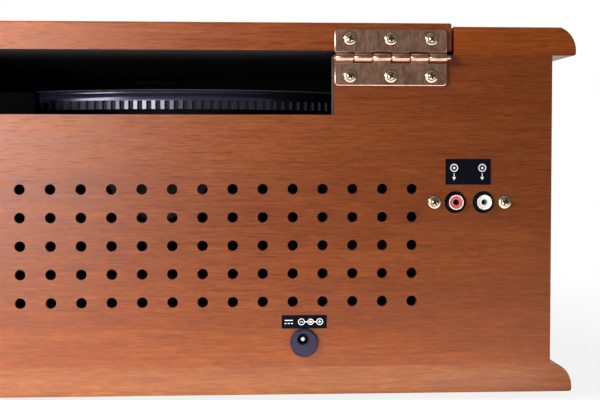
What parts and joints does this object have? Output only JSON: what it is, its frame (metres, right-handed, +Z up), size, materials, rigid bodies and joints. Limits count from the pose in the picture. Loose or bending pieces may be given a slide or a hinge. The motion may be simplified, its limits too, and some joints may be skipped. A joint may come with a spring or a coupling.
{
  "type": "record player",
  "caption": "Wooden table record player with a moulded base and top, hinged lid, rear record slot, belt-driven platter, tonearm, speakers, radio dial and rear sockets.",
  "frame": {"origin": "middle of the overall box at the floor under the rubber feet", "axes": "+X to the right seen from the front, -Y towards the front with the knobs, +Y towards the rear with the hinges, +Z up"},
  "size_m": [0.5114, 0.3752, 0.215],
  "materials": {
    "wood_veneer": "satin lacquer",
    "wood_inner": "bare",
    "felt": "felt",
    "rubber": "matte",
    "steel": "zinc plated",
    "brass": "antique",
    "black_plastic": "satin",
    "nickel": "plated",
    "red_plastic": "satin",
    "white_plastic": "satin",
    "label_black": "printed film",
    "painted_steel": "satin",
    "ferrite": "dull",
    "cone_paper": "paper",
    "grille_cloth": "woven",
    "clear_glass": "clear",
    "cream_plastic": "printed",
    "cord": "braided",
    "red_lens": "clear",
    "circuit_green": "solder mask",
    "silver": "satin",
    "knob_brown": "gloss"
  },
  "bodies": {
    "cabinet": {"base_board": "wood_veneer", "side_panel_left": "wood_veneer", "side_panel_right": "wood_veneer", "front_panel": "wood_veneer", "rear_panel": "wood_veneer", "top_frame": "wood_veneer", "glue_blocks": "wood_inner", "lid_pads": "felt", "rubber_feet": "rubber", "wood_screws": "steel", "hinge_case_leaves": "brass", "hinge_pins": "brass", "rear_screws": "brass", "line_out_socket": "black_plastic", "line_out_barrels": "nickel", "line_out_insert_red": "red_plastic", "line_out_insert_white": "white_plastic", "line_out_label": "label_black", "dc_socket": "black_plastic", "dc_socket_pin": "nickel", "dc_label": "label_black", "speaker_baskets": "painted_steel", "speaker_magnets": "ferrite", "speaker_cones": "cone_paper", "grille_cloths": "grille_cloth", "dial_bezel": "brass", "dial_glass": "clear_glass", "dial_plate": "cream_plastic", "tuning_capacitor": "steel", "dial_cord": "cord", "control_bodies": "steel", "power_lamp": "red_lens", "main_board": "circuit_green", "turntable_deck": "black_plastic", "spindle_bush": "brass", "drive_belt": "rubber", "drive_motor": "steel", "tonearm_base": "black_plastic", "arm_rest": "black_plastic"},
    "lid": {"lid_board": "wood_veneer", "hinge_lid_leaves": "brass", "hinge_lid_screws": "brass"},
    "platter": {"platter": "black_plastic", "platter_mat": "felt", "spindle": "nickel"},
    "pulley": {"motor_pulley": "brass"},
    "turret": {"tonearm_turret": "black_plastic"},
    "tonearm": {"tonearm_tube": "silver", "headshell": "black_plastic", "cartridge": "red_plastic", "counterweight": "nickel"},
    "cue_lever": {"cue_lever": "black_plastic"},
    "cue_bar": {"cue_lift_bar": "black_plastic"},
    "speed_lever": {"speed_lever": "black_plastic"},
    "stop_lever": {"stop_lever": "black_plastic"},
    "volume_knob": {"volume_knob": "knob_brown"},
    "function_knob": {"function_knob": "knob_brown"},
    "tuning_knob": {"tuning_knob": "knob_brown"},
    "pointer": {"dial_pointer": "red_plastic"},
    "adapter": {"record_adapter": "black_plastic"}
  },
  "joints": [
    {"name": "lid_hinge", "type": "hinge", "parent": "cabinet", "child": "lid", "pos_m": [0, 0.185, 0.1953], "axis": [-1, 0, 0], "range_deg": [0, 100]},
    {"name": "platter_spin", "type": "hinge", "parent": "cabinet", "child": "platter", "pos_m": [-0.029, 0.0224, 0.163], "axis": [0, 0, 1], "continuous": true},
    {"name": "motor_spin", "type": "hinge", "parent": "cabinet", "child": "pulley", "pos_m": [-0.134, 0.0224, 0.163], "axis": [0, 0, 1], "continuous": true},
    {"name": "tonearm_swing", "type": "hinge", "parent": "cabinet", "child": "turret", "pos_m": [0.136, 0.1274, 0.17], "axis": [0, 0, -1], "range_deg": [0, 43]},
    {"name": "tonearm_lift", "type": "hinge", "parent": "turret", "child": "tonearm", "pos_m": [0.136, 0.1274, 0.1895], "axis": [-1, 0, 0], "range_deg": [0, 1.4]},
    {"name": "cue_turn", "type": "hinge", "parent": "cabinet", "child": "cue_lever", "pos_m": [0.157, 0.1274, 0.172], "axis": [-1, 0, 0], "range_deg": [0, 35]},
    {"name": "cue_bar_lift", "type": "slide", "parent": "cabinet", "child": "cue_bar", "axis": [0, 0, 1], "range_m": [0, 0.0005]},
    {"name": "speed_slide", "type": "slide", "parent": "cabinet", "child": "speed_lever", "axis": [0, 1, 0], "range_m": [-0.007, 0.007]},
    {"name": "stop_slide", "type": "slide", "parent": "cabinet", "child": "stop_lever", "axis": [0, 1, 0], "range_m": [-0.007, 0.007]},
    {"name": "volume_turn", "type": "hinge", "parent": "cabinet", "child": "volume_knob", "pos_m": [-0.058, -0.17, 0.044], "axis": [0, 1, 0], "range_deg": [0, 300]},
    {"name": "function_turn", "type": "hinge", "parent": "cabinet", "child": "function_knob", "pos_m": [0.058, -0.17, 0.044], "axis": [0, 1, 0], "range_deg": [0, 90]},
    {"name": "tuning_turn", "type": "hinge", "parent": "cabinet", "child": "tuning_knob", "pos_m": [0, -0.17, 0.044], "axis": [0, 1, 0], "range_deg": [-360, 360]},
    {"name": "pointer_turn", "type": "hinge", "parent": "cabinet", "child": "pointer", "pos_m": [0, -0.16, 0.128], "axis": [0, 1, 0], "range_deg": [-120, 120]},
    {"name": "adapter_lift", "type": "slide", "parent": "cabinet", "child": "adapter", "axis": [0, 0, 1], "range_m": [0, 0.02]}
  ],
  "couplings": [
    {"joint": "motor_spin", "follows": "platter_spin", "ratio": 11.667},
    {"joint": "tonearm_lift", "follows": "cue_turn", "ratio": 0.04},
    {"joint": "cue_bar_lift", "follows": "cue_turn", "m_per_rad": 0.00075},
    {"joint": "pointer_turn", "follows": "tuning_turn", "ratio": 0.33333}
  ]
}
